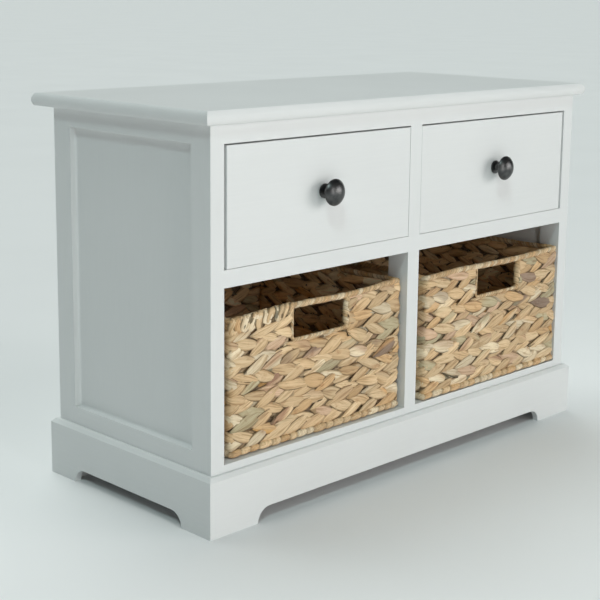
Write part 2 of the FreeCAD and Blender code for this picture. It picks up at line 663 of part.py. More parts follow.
# ---- the whole bench ----------------------------------------------------------------------------
def carcass():
    """Every fixed piece of the cabinet, with its grooves and holes cut."""
    panel = left_side_panel()
    back = back_panel()
    dowels = carcass_dowels()
    screws = top_screws()
    pins = back_panel_pins()
    left_tools = [panel, back] + dowels + pins
    nodes = {"top_board": top_board().cut(Part.makeCompound(screws))}
    for name, piece in left_frame().items():
        shaped = cut_all(piece, left_tools)
        nodes["left_" + name] = shaped
        nodes["right_" + name] = mirrored(shaped)
    for name, piece in cross_frame().items():
        nodes[name] = cut_all(piece, [back] + dowels + screws + pins)
    for name, piece in (("side_panel", panel), ("plinth", left_plinth())):
        nodes["left_" + name] = piece
        nodes["right_" + name] = mirrored(piece)
    nodes["back_panel"] = cut_all(back, pins)
    nodes["front_plinth"] = front_plinth()
    nodes["back_plinth"] = back_plinth()
    nodes["drawer_runners"] = Part.makeCompound([cut_all(strip, dowels) for strip in drawer_runners()])
    nodes["drawer_guides"] = Part.makeCompound(drawer_guides())
    nodes["drawer_kickers"] = Part.makeCompound(drawer_kickers())
    nodes["drawer_stops"] = Part.makeCompound(drawer_stops())
    nodes["carcass_dowels"] = Part.makeCompound(dowels)
    nodes["top_screws"] = Part.makeCompound(screws)
    nodes["back_panel_pins"] = Part.makeCompound(pins)
    return nodes


def moving_parts():
    """Both drawers and both baskets."""
    nodes = {}
    for name, piece in left_drawer().items():
        nodes["left_" + name] = piece
        nodes["right_" + name] = mirrored(piece)
    left_places = basket_places(BAY_CENTRE + LEFT_BASKET_SHIFT, LEFT_BASKET_SETBACK, LEFT_HANDLE_SHIFT)
    right_places = basket_places(-BAY_CENTRE + RIGHT_BASKET_SHIFT, RIGHT_BASKET_SETBACK, RIGHT_HANDLE_SHIFT)
    for side, places in (("left_", left_places), ("right_", right_places)):
        for name, piece in basket(places).items():
            nodes[side + name] = piece
    return nodes


def main():
    """Write one file for each piece."""
    os.makedirs("parts", exist_ok=True)
    nodes = carcass()
    nodes.update(moving_parts())
    for name, shape in nodes.items():
        shape.exportStep("parts/" + name + ".step")


main()
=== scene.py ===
import math
import random

import bpy
import numpy as np
from mathutils import Matrix, Vector


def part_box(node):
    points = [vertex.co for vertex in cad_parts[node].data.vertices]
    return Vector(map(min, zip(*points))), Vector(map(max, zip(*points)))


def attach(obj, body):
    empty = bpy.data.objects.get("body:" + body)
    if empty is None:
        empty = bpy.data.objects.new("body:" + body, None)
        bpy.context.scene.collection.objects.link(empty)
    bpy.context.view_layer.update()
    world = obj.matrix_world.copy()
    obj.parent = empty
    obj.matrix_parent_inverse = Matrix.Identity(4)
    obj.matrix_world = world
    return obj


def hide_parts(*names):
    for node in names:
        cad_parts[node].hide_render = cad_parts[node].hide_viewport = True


# Looks of a white entryway bench with two drawers over two woven baskets. Metres, +Z up, the front
# faces -Y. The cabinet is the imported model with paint, wood and metal materials; the baskets are
# plaited here, leaf by leaf, in the space their plain solids hold.

MM = 0.001
SIDES = ("left", "right")

# ---- camera and light ---------------------------------------------------------------------------
CAMERA_PLACE = (-1.3373, -1.2785, 0.6354)
CAMERA_HEADING = math.radians(44.96)
CAMERA_TILT = math.radians(-10.34)
CAMERA_ROLL = math.radians(0.59)
CAMERA_LENS = 81.03
CAMERA_SENSOR = 36.0
CAMERA_SHIFT_Y = -0.1114
CAMERA_REACH = 100.0

SKY_COLOUR = (0.93, 0.985, 1.0)
SKY_STRENGTH = 0.07
KEY_FROM = (0.57, -0.82, 0.04)
KEY_POWER = 2.25
KEY_SPREAD = math.radians(46.0)
KEY_COLOUR = (1.0, 0.985, 0.965)
FILL_FROM = (-0.55, -0.45, 0.80)
FILL_POWER = 0.74
FILL_SPREAD = math.radians(11.0)
FILL_COLOUR = (0.80, 1.0, 0.99)
TOP_FROM = (0.05, 0.45, 1.0)
TOP_POWER = 1.80
TOP_SPREAD = math.radians(50.0)
TOP_COLOUR = (0.94, 1.0, 0.98)
SUN_DISTANCE = 3.0
PANEL_PLACE = (-0.60, -2.1, 0.75)
PANEL_TARGET = (0.0, 0.0, 0.35)
PANEL_SIZE = (0.35, 1.5)
PANEL_POWER = 8.5
FLOOR_SIZE = 300.0
EDGE_EASE = 0.9 * MM
EASED_ANGLE = math.radians(25.0)
EASED_PIECES = ("plinth", "top_board")
BEAD_SIZE = 2.4 * MM
BEAD_HOLLOW = 0.38

# ---- plait --------------------------------------------------------------------------------------
LEFT_SEED = 11
RIGHT_SEED = 29
ANY_ANGLE = 6.28
PLAIT_ROWS = 7
FLOOR_ROWS = 11
LEAF_SPACING = 33.0 * MM
LEAF_LENGTH = 58.0 * MM
LEAF_WIDTH = 17.0 * MM
LEAF_BULGE = 1.5 * MM
SIZE_SPREAD = (0.78, 1.2)
BULGE_SPREAD = (0.7, 1.2)
ALONG_SPREAD = 2.4 * MM
HEIGHT_SPREAD = 0.8 * MM
UPPER_SLOPE = math.radians(-12.0)
LOWER_SLOPE = math.radians(24.0)
SLOPE_SPREAD = math.radians(5.5)
LANE_OFFSET = 0.21
LANE_STAGGER = 0.25
TINT_SHARES = (0.0, 0.25, 0.45, 0.75)
ROW_VALLEY = 1.5 * MM
VALLEY_POWER = 2.5
VALLEY_REACH = 1.3
FINE_STEPS = (14, 8)
PLAIN_STEPS = (8, 4)
STRIP_STEPS = (12, 4)

# One leaf. A plain number is a share of its length or width, a power or a count.
LEAF_WIDEST = (-0.25, 0.15)
LEAF_TAPER = 1.9
LEAF_TIP = 0.002
LEAF_POINT = 1.12
LEAF_BOW = (-0.12, 0.16)
LEAF_DIVE = 3.4 * MM
DIVE_POWER = 6
LEAF_LIFT = 0.7 * MM
LEAF_TILT = 0.7 * MM
LEAF_ROUND = 0.5
CURL_SPREAD = 0.6
RIDGE_HEIGHT = 0.30 * MM
RIDGE_TURNS = (1.4, 3.2)
CREASE_PLACE = 0.6
CREASE_WIDTH = 0.2
CREASE_SHARE = 0.6
TINT_PLACE = (-0.5, 0.8)
TINT_FADE = 0.45
# Leaf ends darkened by this much from this place on: painted shade where a leaf dives under its neighbours.
END_SHADE = 0.55
END_SHADE_FROM = 0.62
END_SHADE_POWER = 1.5
UV_PATCHES = 60

# The wall's layers, as depths under the surface that the leaves follow.
SURFACE_INSET = 2.6 * MM
WALL_BEND = 3.0 * MM
WALL_FOOT_GAP = 0.3 * MM
WALL_RIM_OVERLAP = 2.5 * MM
UNDER_DEPTH = 1.9 * MM
# The under layer's colours are darkened to this share: painted shade beneath the outer leaves.
UNDER_PAINTED_SHADE = 0.62
CORE_OUTER_DEPTH = 2.6 * MM
CORE_INNER_DEPTH = 5.0 * MM
CORE_COLUMNS = 240
CORE_LINES = 26
CORE_CLEARANCE = 3.0 * MM
INNER_DEPTH = 6.2 * MM
FLOOR_DEPTH = 2.0 * MM

# Rim, foot and the strips folded over the left rim.
RING_STEP = 1.6 * MM
RIM_RADIUS = 4.0 * MM
RIM_WRAP = 6.0 * MM
RIM_DEPTH = 2.7 * MM
RIM_GAP = 0.6 * MM
RIM_WOBBLE = 0.5 * MM
RIM_GROOVE = 0.14
RIM_TWIST = 1.3
STRIP_START = 2.0 * MM
STRIP_SPACING = 8.5 * MM
STRIP_LENGTH = 27.0 * MM
STRIP_WIDTH = 20.0 * MM
STRIP_SLOPES = (60.0, 72.0)
STRIP_DROP = 6.5 * MM
STRIP_SKIN = 0.9 * MM
STRIP_BULGE = 0.4 * MM
STRIP_CURL = 0.2 * MM
STRIP_LIFT_REACH = 9.0 * MM
STRIP_BODY = 0.1
STRIP_NARROWING = 0.9
STRIP_TAPER = 1.6
# The lower end of each folded strip is darkened by this much: painted shade where it goes under the row.
STRIP_PAINTED_SHADE = 0.5
FOOT_RADIUS = 4.6 * MM
FOOT_WRAP = 16.0 * MM
FOOT_LIFT = 0.9 * MM
FOOT_DEPTH = 1.6 * MM
FOOT_WOBBLE = 0.3 * MM
FOOT_GROOVE = 0.36
FOOT_TWIST = 0.15
WRAP_SPREAD = (0.65, 1.4)
WRAP_BULGES = (0.92, 1.10)
WRAP_SIDES = 12
# Each wound turn is darkened towards its edges by this much: painted shade in the grooves between turns.
WRAP_PAINTED_SHADE = 0.35
GROOVE_POWER = 5
SHADE_POWER = 6

# The leaf wound round the handle hole.
BINDING = 7.0 * MM
HOLE_REACH = 9.0 * MM
HOLE_OUTSET = 9.0 * MM
HOLE_BEND = 5.5 * MM
HOLE_NEAR = 60.0 * MM
FOLD_DIVE = 4.0 * MM
JAMB_RADIUS = 2.0 * MM
JAMB_INSET = 0.4 * MM
JAMB_DEPTH = 1.0 * MM
CORD_RADIUS = 2.5 * MM
CORD_DEPTH = 1.6 * MM
POST_RADIUS = 4.6 * MM
POST_OFFSET = 5.4 * MM
POST_DEPTH = 3.4 * MM
EDGE_STEP = 1.2 * MM
EDGE_TURN_STEPS = 10
EDGE_WRAP = 5.5 * MM
EDGE_GROOVE = 0.13
EDGE_TWIST = 0.9

# Where each rim dips or lifts along its front: share of the width, reach, rise.
RIM_BENDS = {
    "left": ((0.0, 70.0 * MM, -4.5 * MM), (0.68, 60.0 * MM, -2.5 * MM), (1.0, 45.0 * MM, 2.6 * MM)),
    "right": ((0.0, 50.0 * MM, -2.0 * MM), (0.66, 60.0 * MM, -2.0 * MM), (1.0, 45.0 * MM, 2.0 * MM)),
}

# Dry water hyacinth: how often each colour of leaf comes, and the colour as the eye sees it.
LEAF_COLOURS = (
    (30, (0.90, 0.79, 0.635)),
    (24, (0.86, 0.74, 0.58)),
    (14, (0.93, 0.86, 0.74)),
    (12, (0.84, 0.70, 0.525)),
    (4, (0.84, 0.715, 0.60)),
    (6, (0.77, 0.72, 0.59)),
    (2, (0.87, 0.68, 0.43)),
    (1, (0.62, 0.53, 0.46)),
)
TINT_COLOURS = (
    (30, (0.86, 0.74, 0.58)),
    (14, (0.80, 0.65, 0.53)),
    (14, (0.76, 0.71, 0.58)),
    (12, (0.86, 0.66, 0.42)),
    (9, (0.62, 0.45, 0.36)),
    (4, (0.50, 0.41, 0.36)),
    (10, (0.93, 0.88, 0.78)),
)
PLAIN_COLOURS = 4
LEAF_LIGHTNESS = (0.92, 1.06)
PLAIN_LIGHTNESS = (0.94, 1.04)

# The end of a piece's name, and the look it takes; the first that fits is used.
LOOKS = (
    ("zinc", ("pins", "screws", "screw")),
    ("knob", ("drawer_knob",)),
    ("pine_y", ("outer_side", "inner_side", "runners", "guides", "kickers", "stops")),
    ("pine_x", ("drawer_back", "dowels")),
    ("plywood", ("drawer_bottom",)),
    ("paint_y", ("side_top_rail", "side_bottom_rail", "left_plinth", "right_plinth")),
    ("paint_z", ("post", "side_panel")),
    ("paint_x", ("rail", "board", "front_plinth", "back_plinth", "back_panel", "drawer_front")),
)


# ---- node helpers -------------------------------------------------------------------------------
def start_material(name, roughness, colour=(0.8, 0.8, 0.8)):
    """A new node material; returns it with its tree and its shader."""
    made = bpy.data.materials.new(name)
    made.use_nodes = True
    tree = made.node_tree
    shader = next(node for node in tree.nodes if node.type == "BSDF_PRINCIPLED")
    shader.inputs["Roughness"].default_value = roughness
    made.diffuse_color = (*colour, 1.0)
    return made, tree, shader


def add(tree, kind, settings=None, inputs=None):
    """A node with its settings and input values."""
    made = tree.nodes.new(kind)
    for name, value in (settings or {}).items():
        setattr(made, name, value)
    for name, value in (inputs or {}).items():
        made.inputs[name].default_value = value
    return made


def place(tree, stretch=(1.0, 1.0, 1.0), source="Object"):
    """Coordinates of the piece itself, squeezed by a factor along each axis."""
    where = add(tree, "ShaderNodeTexCoord")
    mapping = add(tree, "ShaderNodeMapping", inputs={"Scale": stretch})
    tree.links.new(where.outputs[source], mapping.inputs["Vector"])
    return mapping.outputs["Vector"]


def noise_of(tree, vector, scale, detail=3.0, distortion=0.0, roughness=0.55):
    """A noise texture's value."""
    inputs = {"Scale": scale, "Detail": detail, "Distortion": distortion, "Roughness": roughness}
    made = add(tree, "ShaderNodeTexNoise", inputs=inputs)
    tree.links.new(vector, made.inputs["Vector"])
    return made.outputs["Fac"]


def ramp_of(tree, value, stops):
    """A colour ramp over a value; stops are (place, colour)."""
    made = add(tree, "ShaderNodeValToRGB")
    elements = made.color_ramp.elements
    while len(elements) < len(stops):
        elements.new(0.5)
    for element, (where, colour) in zip(elements, stops):
        element.position = where
        element.color = (*colour, 1.0)
    tree.links.new(value, made.inputs["Fac"])
    return made.outputs["Color"]


def range_of(tree, value, low, high, from_low=0.0, from_high=1.0):
    """The value moved from one range to another."""
    inputs = {"From Min": from_low, "From Max": from_high, "To Min": low, "To Max": high}
    made = add(tree, "ShaderNodeMapRange", inputs=inputs)
    tree.links.new(value, made.inputs["Value"])
    return made.outputs["Result"]


def blend_of(tree, factor, first, second, how="MIX"):
    """Two colours mixed; a factor or colour may be a socket or a plain value."""
    made = add(tree, "ShaderNodeMix", {"data_type": "RGBA", "blend_type": how})
    for name, value in (("Factor", factor), ("A", first), ("B", second)):
        socket = next(s for s in made.inputs if s.name == name and s.enabled)
        if isinstance(value, bpy.types.NodeSocket):
            tree.links.new(value, socket)
        elif name == "Factor":
            socket.default_value = value
        else:
            socket.default_value = (*value, 1.0)
    return next(s for s in made.outputs if s.enabled)


def math_of(tree, how, first, second):
    """One arithmetic step."""
    made = add(tree, "ShaderNodeMath", {"operation": how})
    for socket, value in zip(made.inputs, (first, second)):
        if isinstance(value, bpy.types.NodeSocket):
            tree.links.new(value, socket)
        else:
            socket.default_value = value
    return made.outputs["Value"]


def bump_from(tree, shader, height, strength, distance):
    """Relief on the surface from a height value."""
    made = add(tree, "ShaderNodeBump", inputs={"Strength": strength, "Distance": distance})
    tree.links.new(height, made.inputs["Height"])
    tree.links.new(made.outputs["Normal"], shader.inputs["Normal"])


def as_light(colour):
    """A colour as the eye sees it, turned into the amount of light it stands for."""
    return tuple(c / 12.92 if c <= 0.04045 else ((c + 0.055) / 1.055) ** 2.4 for c in colour)


# ---- materials ----------------------------------------------------------------------------------
def white_paint(name, along):
    """Satin white paint over wood, with faint brush marks along the board."""
    made, tree, shader = start_material(name, 0.42, (0.8, 0.82, 0.82))
    stretch = [1.0, 1.0, 1.0]
    stretch["XYZ".index(along)] = 0.035
    brush = noise_of(tree, place(tree, stretch), 520.0, 4.0)
    patches = noise_of(tree, place(tree), 7.0, 2.0)
    speckle = noise_of(tree, place(tree), 900.0, 2.0)
    marks = math_of(tree, "MULTIPLY", brush, 0.45)
    tone = math_of(tree, "ADD", marks, math_of(tree, "MULTIPLY", patches, 0.55))
    colour = ramp_of(tree, tone, ((0.30, (0.715, 0.722, 0.718)), (0.70, (0.745, 0.752, 0.748))))
    tree.links.new(colour, shader.inputs["Base Color"])
    tree.links.new(range_of(tree, patches, 0.44, 0.56), shader.inputs["Roughness"])
    shader.inputs["Specular IOR Level"].default_value = 0.20
    height = math_of(tree, "ADD", brush, math_of(tree, "MULTIPLY", speckle, 0.35))
    bump_from(tree, shader, height, 0.08, 0.35 * MM)
    return made


def bare_wood(name, along, light, dark, bands):
    """Planed, unpainted softwood with long grain."""
    made, tree, shader = start_material(name, 0.62, light)
    stretch = [1.0, 1.0, 1.0]
    stretch["XYZ".index(along)] = 0.06
    where = place(tree, stretch)
    wave = add(
        tree, "ShaderNodeTexWave", {"wave_type": "RINGS", "rings_direction": along},
        {"Scale": bands, "Distortion": 5.0, "Detail": 3.0, "Detail Scale": 1.6},
    )
    tree.links.new(where, wave.inputs["Vector"])
    fibre = noise_of(tree, where, 700.0, 4.0)
    rings = math_of(tree, "MULTIPLY", wave.outputs["Fac"], 0.6)
    grain = math_of(tree, "ADD", rings, math_of(tree, "MULTIPLY", fibre, 0.4))
    colour = ramp_of(tree, grain, ((0.15, as_light(dark)), (0.75, as_light(light))))
    tree.links.new(colour, shader.inputs["Base Color"])
    tree.links.new(range_of(tree, fibre, 0.5, 0.75), shader.inputs["Roughness"])
    bump_from(tree, shader, grain, 0.25, 0.3 * MM)
    return made


def dark_knob_metal():
    """Cast metal with a nearly black satin finish, faintly mottled."""
    made, tree, shader = start_material("dark_knob_metal", 0.34, (0.03, 0.03, 0.03))
    mottle = noise_of(tree, place(tree), 160.0, 5.0)
    pits = noise_of(tree, place(tree), 900.0, 2.0)
    colour = ramp_of(tree, mottle, ((0.35, (0.075, 0.076, 0.078)), (0.70, (0.125, 0.124, 0.122))))
    tree.links.new(colour, shader.inputs["Base Color"])
    shader.inputs["Metallic"].default_value = 1.0
    tree.links.new(range_of(tree, mottle, 0.26, 0.42), shader.inputs["Roughness"])
    bump_from(tree, shader, pits, 0.10, 0.15 * MM)
    return made


def plated_steel(name, colour, roughness):
    """Plated steel with fine scratches."""
    made, tree, shader = start_material(name, roughness, colour)
    scratches = noise_of(tree, place(tree, (1.0, 1.0, 0.1)), 1400.0, 3.0)
    darker = tuple(c * 0.7 for c in colour)
    tree.links.new(ramp_of(tree, scratches, ((0.3, darker), (0.7, colour))), shader.inputs["Base Color"])
    shader.inputs["Metallic"].default_value = 0.9
    tree.links.new(range_of(tree, scratches, roughness - 0.08, roughness + 0.12), shader.inputs["Roughness"])
    bump_from(tree, shader, scratches, 0.1, 0.1 * MM)
    return made


def dry_leaf(name, tint):
    """Dried leaf: its own colour, long fibres and folds that darken it in their hollows (partly its own
    streaks, partly painted shade), darker edges and a few stains.
    """
    made, tree, shader = start_material(name, 0.6, (0.7, 0.6, 0.4))
    own = add(tree, "ShaderNodeAttribute", {"attribute_name": "leaf_colour"}).outputs["Color"]
    along = place(tree, source="UV")
    folds = noise_of(tree, place(tree, (0.22, 4.5, 1.0), "UV"), 1.0, 3.0, 0.4, 0.6)
    fibres = noise_of(tree, place(tree, (0.30, 14.0, 1.0), "UV"), 1.0, 3.0, 0.2, 0.65)
    stains = noise_of(tree, place(tree), 70.0, 3.0)
    split = add(tree, "ShaderNodeSeparateXYZ")
    tree.links.new(along, split.inputs["Vector"])
    across = math_of(tree, "SUBTRACT", math_of(tree, "FRACT", split.outputs["Y"], 0.0), 0.5)
    edge = range_of(tree, math_of(tree, "ABSOLUTE", across, 0.0), 0.0, 1.0, 0.30, 0.5)
    # Folds and fibres darken the colour where their relief is low: partly the leaf's own streaks, partly
    # painted shade in its creases.
    fold_stops = ((0.34, (0.60, 0.50, 0.38)), (0.50, (0.97, 0.95, 0.92)), (0.68, (1.0, 1.0, 1.0)))
    folded = ramp_of(tree, folds, fold_stops)
    streak = ramp_of(tree, fibres, ((0.32, (0.72, 0.65, 0.56)), (0.55, (1.0, 1.0, 1.0))))
    first = blend_of(tree, 0.85, own, folded, "MULTIPLY")
    streaked = blend_of(tree, 0.75, first, streak, "MULTIPLY")
    brown = ramp_of(tree, stains, ((0.60, (1.0, 1.0, 1.0)), (0.76, (0.66, 0.47, 0.34))))
    stained = blend_of(tree, 0.75, streaked, brown, "MULTIPLY")
    edged = blend_of(tree, math_of(tree, "MULTIPLY", edge, 0.5), stained, (0.30, 0.18, 0.09), "MIX")
    # The tint multiplies the whole colour; above one, as for the lining, it is painted light.
    final = blend_of(tree, 1.0, edged, tint, "MULTIPLY")
    tree.links.new(final, shader.inputs["Base Color"])
    tree.links.new(range_of(tree, folds, 0.46, 0.72), shader.inputs["Roughness"])
    shader.inputs["Specular IOR Level"].default_value = 0.35
    height = math_of(tree, "ADD", folds, math_of(tree, "MULTIPLY", fibres, 0.5))
    bump_from(tree, shader, height, 0.7, 0.9 * MM)
    return made


def leaf_shadow():
    """Painted shade: the crossed stems seen between the leaves, coloured near black for the shade in the
    gaps.
    """
    made, tree, shader = start_material("leaf_gap_shade", 0.8, (0.1, 0.07, 0.04))
    stems = noise_of(tree, place(tree, (1.0, 1.0, 3.0)), 220.0, 3.0)
    colour = ramp_of(tree, stems, ((0.3, (0.075, 0.047, 0.026)), (0.75, (0.26, 0.175, 0.10))))
    tree.links.new(colour, shader.inputs["Base Color"])
    bump_from(tree, shader, stems, 0.6, 1.0 * MM)
    return made


def pale_floor():
    """A plain pale grey studio floor, faintly uneven."""
    made, tree, shader = start_material("studio_floor", 0.8, (0.9, 0.9, 0.9))
    mottle = noise_of(tree, place(tree), 2.0, 2.0)
    colour = ramp_of(tree, mottle, ((0.3, (0.80, 0.80, 0.80)), (0.7, (0.82, 0.82, 0.82))))
    tree.links.new(colour, shader.inputs["Base Color"])
    shader.inputs["Specular IOR Level"].default_value = 0.1
    return made


# ---- mesh helpers -------------------------------------------------------------------------------
def mesh_piece(name, points, faces, made, colours=None, uvs=None, smooth=True):
    """An object from arrays of points and faces; colours are per point, uvs per point."""
    mesh = bpy.data.meshes.new(name)
    mesh.from_pydata([tuple(p) for p in points], [], [tuple(int(i) for i in f) for f in faces])
    loops = np.zeros(len(mesh.loops), dtype=np.int64)
    mesh.loops.foreach_get("vertex_index", loops)
    if colours is not None:
        layer = mesh.color_attributes.new("leaf_colour", "FLOAT_COLOR", "POINT")
        layer.data.foreach_set("color", np.asarray(colours, dtype=np.float32).ravel())
    if uvs is not None:
        layer = mesh.uv_layers.new(name="leaf_uv")
        layer.data.foreach_set("uv", np.asarray(uvs, dtype=np.float32)[loops].ravel())
    mesh.polygons.foreach_set("use_smooth", np.full(len(mesh.polygons), smooth))
    mesh.validate()
    mesh.update()
    piece = bpy.data.objects.new(name, mesh)
    bpy.context.scene.collection.objects.link(piece)
    mesh.materials.append(made)
    return piece


class Heap:
    """Collects the points, faces, colours and uvs of many small sheets into one mesh."""

    def __init__(self):
        self.points = []
        self.faces = []
        self.colours = []
        self.uvs = []
        self.count = 0

    def take(self, points, faces, colour, uvs):
        self.points.append(points)
        self.faces.extend([[i + self.count for i in face] for face in faces])
        self.colours.append(np.tile((*colour, 1.0), (len(points), 1)) if np.ndim(colour) == 1 else colour)
        self.uvs.append(uvs)
        self.count += len(points)

    def piece(self, name, made):
        return mesh_piece(
            name, np.concatenate(self.points), self.faces, made,
            np.concatenate(self.colours), np.concatenate(self.uvs),
        )


def pick_colour(chance, colours=LEAF_COLOURS):
    """One leaf's colour, with its own small difference in lightness."""
    weights = [weight for weight, _ in colours]
    colour = chance.choices([c for _, c in colours], weights)[0]
    lightness = chance.uniform(*LEAF_LIGHTNESS)
    return as_light(tuple(min(1.0, c * lightness) for c in colour))


def plain_colour(chance):
    """The colour of a leaf chosen for binding: always one of the common straw shades."""
    colour = chance.choice([c for _, c in LEAF_COLOURS[:PLAIN_COLOURS]])
    lightness = chance.uniform(*PLAIN_LIGHTNESS)
    return as_light(tuple(c * lightness for c in colour))


# ---- surfaces the plait follows -----------------------------------------------------------------
class WallPath:
    """The rounded rectangle a basket wall follows, measured along from its front left corner."""

    def __init__(self, low, high, radius):
        self.radius = radius
        self.flat_x = high.x - low.x - 2 * radius
        self.flat_y = high.y - low.y - 2 * radius
        self.arc = math.pi * radius / 2
        self.length = 2 * (self.flat_x + self.flat_y) + 4 * self.arc
        near_x, far_x = low.x + radius, high.x - radius
        near_y, far_y = low.y + radius, high.y - radius
        # One row a side: where it starts, the way it runs, and the centre of the bend after it.
        self.sides = (
            ((near_x, low.y), (1, 0), (far_x, near_y)),
            ((high.x, near_y), (0, 1), (far_x, far_y)),
            ((far_x, high.y), (-1, 0), (near_x, far_y)),
            ((low.x, far_y), (0, -1), (near_x, near_y)),
        )

    def at(self, s):
        """Places and outward directions at distances s along the wall."""
        s = np.mod(s, self.length)
        x = np.zeros_like(s)
        y = np.zeros_like(s)
        turn = np.zeros_like(s)
        passed = 0.0
        for number, (start, step, corner) in enumerate(self.sides):
            flat = self.flat_x if number % 2 == 0 else self.flat_y
            heading = number * math.pi / 2
            along = s - passed
            on_flat = (along >= 0) & (along < flat)
            x = np.where(on_flat, start[0] + step[0] * along, x)
            y = np.where(on_flat, start[1] + step[1] * along, y)
            turn = np.where(on_flat, heading, turn)
            bend = (along - flat) / self.radius
            on_bend = (along >= flat) & (along < flat + self.arc)
            angle = heading - math.pi / 2 + bend
            x = np.where(on_bend, corner[0] + self.radius * np.cos(angle), x)
            y = np.where(on_bend, corner[1] + self.radius * np.sin(angle), y)
            turn = np.where(on_bend, heading + bend, turn)
            passed += flat + self.arc
        outward = turn - math.pi / 2
        return x, y, np.cos(outward), np.sin(outward)


def rim_rise(bends, x, y):
    """How far the rim stands above or below level; bends are (x, y, reach, rise)."""
    total = np.zeros(np.shape(x))
    for bend_x, bend_y, reach, rise in bends:
        total = total + rise * np.exp(-(np.hypot(x - bend_x, y - bend_y) / reach) ** 2)
    return total


def wall_surface(path, bends, z_low, z_high):
    """Maps (along, height, depth) to a point on or off the wall, which follows the rim's rise."""
    def at(s, z, depth):
        x, y, nx, ny = path.at(s)
        px = x + nx * depth
        py = y + ny * depth
        share = np.clip((z - z_low) / (z_high - z_low), 0, 1.1) ** 2
        return np.stack([px, py, z + share * rim_rise(bends, px, py)], axis=-1)
    return at


def floor_surface(low, z):
    """Maps (along, across, depth) to a point on or off a level floor."""
    def at(s, t, depth):
        return np.stack([low.x + s, low.y + t, z + depth], axis=-1)
    return at


# ---- leaves -------------------------------------------------------------------------------------
def leaf_faces(steps_along, steps_across):
    """Faces of a lens-shaped leaf: an arched top sheet closed by a flat back."""
    width = steps_across + 1
    faces = []
    for i in range(steps_along):
        for j in range(steps_across):
            a = i * width + j
            faces.append([a, a + width, a + width + 1, a + 1])
    for i in range(steps_along):
        a = i * width
        faces.append([a, a + steps_across, a + width + steps_across, a + width])
    return faces


def leaf_outline(u, chance, blunt):
    """How wide a leaf is at each place along it, from 0 to 1; a blunt one narrows at its lower end only."""
    widest = chance.uniform(*LEAF_WIDEST)
    if blunt:
        return 1 - STRIP_NARROWING * np.clip((-u - STRIP_BODY) / (1 - STRIP_BODY), 0, 1) ** STRIP_TAPER
    stretched = np.where(u < widest, (u - widest) / (1 + widest), (u - widest) / (1 - widest))
    return np.power(np.clip(1 - np.abs(stretched) ** LEAF_TAPER, LEAF_TIP, 1), LEAF_POINT)


def leaf_relief(u, v, outline, bulge, chance, blunt):
    """How far a leaf stands off the wall: its arch, crease and ridges, and the dive at its ends."""
    turns = chance.uniform(*RIDGE_TURNS)
    ridges = RIDGE_HEIGHT * np.sin(turns * math.pi * v + chance.uniform(0, ANY_ANGLE)) * outline
    crease = chance.uniform(-CREASE_PLACE, CREASE_PLACE)
    fold = chance.uniform(0.0, CREASE_SHARE) * np.exp(-((v - crease) / CREASE_WIDTH) ** 2)
    arch = bulge * outline * (1 - LEAF_ROUND * v * v - fold)
    dive = LEAF_DIVE * np.abs(u) ** DIVE_POWER - chance.uniform(-1.0, 1.0) * LEAF_TILT * u
    curl = (STRIP_CURL if blunt else chance.uniform(-CURL_SPREAD, CURL_SPREAD) * MM) * v * outline
    return arch - dive + curl + ridges


def leaf_tone(u, v, colours, chance, blunt):
    """The colour of each point of a leaf: its own colour, tinted at one end, and darkened towards its ends
    where it dives, as painted shade.
    """
    if blunt:
        # Painted shade: a strip darkens towards its lower end, where it goes under the row.
        painted_shade = 1 - STRIP_PAINTED_SHADE * np.clip(-u - 0.5, 0, 1)
    else:
        # Painted shade: the ends of a leaf are darkened where it dives under its neighbours.
        ends = np.clip((np.abs(u) - END_SHADE_FROM) / (1 - END_SHADE_FROM), 0, 1)
        painted_shade = 1 - END_SHADE * ends ** END_SHADE_POWER
    own, tint, share = colours
    place_of_tint = chance.uniform(*TINT_PLACE)
    turned = chance.uniform(0, math.pi)
    reached = u * math.cos(turned) + v * math.sin(turned) - place_of_tint
    mixed = share * np.clip(reached / TINT_FADE, 0, 1)
    tone = np.outer(1 - mixed, own) + np.outer(mixed, tint)
    return np.concatenate([tone * painted_shade[:, None], np.ones((len(u), 1))], axis=1)


def leaf(heap, surface, s, t, slope, size, colours, chance, settle, steps, blunt=False):
    """One visible stretch of leaf laid on a surface, with its middle at (s, t)."""
    length, width, bulge = size
    lines = [np.linspace(-1, 1, count + 1) for count in steps]
    u, v = np.meshgrid(*lines, indexing="ij")
    outline = leaf_outline(u, chance, blunt)
    bow = chance.uniform(*LEAF_BOW) * width * (1 - u * u)
    along = u * length / 2
    across = v * outline * width / 2 + bow
    depth = leaf_relief(u, v, outline, bulge, chance, blunt)
    cos, sin = math.cos(slope), math.sin(slope)
    ss = s + along * cos - across * sin
    tt = t + along * sin + across * cos
    ss, tt, depth = settle(ss, tt, depth)
    points = surface(ss.ravel(), tt.ravel(), depth.ravel())
    patch = chance.randint(0, UV_PATCHES)
    uvs = np.stack([(u.ravel() * length / width + patch), (v.ravel() + 1) / 2 + patch], axis=-1)
    tone = leaf_tone(u.ravel(), v.ravel(), colours, chance, blunt)
    heap.take(points, leaf_faces(*steps), tone, uvs)


def row_settle(kept, lift, middle, pitch):
    """Keeps a leaf within its limits and drops its edges into the valley between two rows."""
    def settle(ss, tt, dd):
        ss, tt, dd = kept(ss, tt, dd)
        off = np.clip(np.abs(tt - middle) / (pitch / 2), 0, VALLEY_REACH)
        return ss, tt, dd + lift - ROW_VALLEY * off ** VALLEY_POWER
    return settle


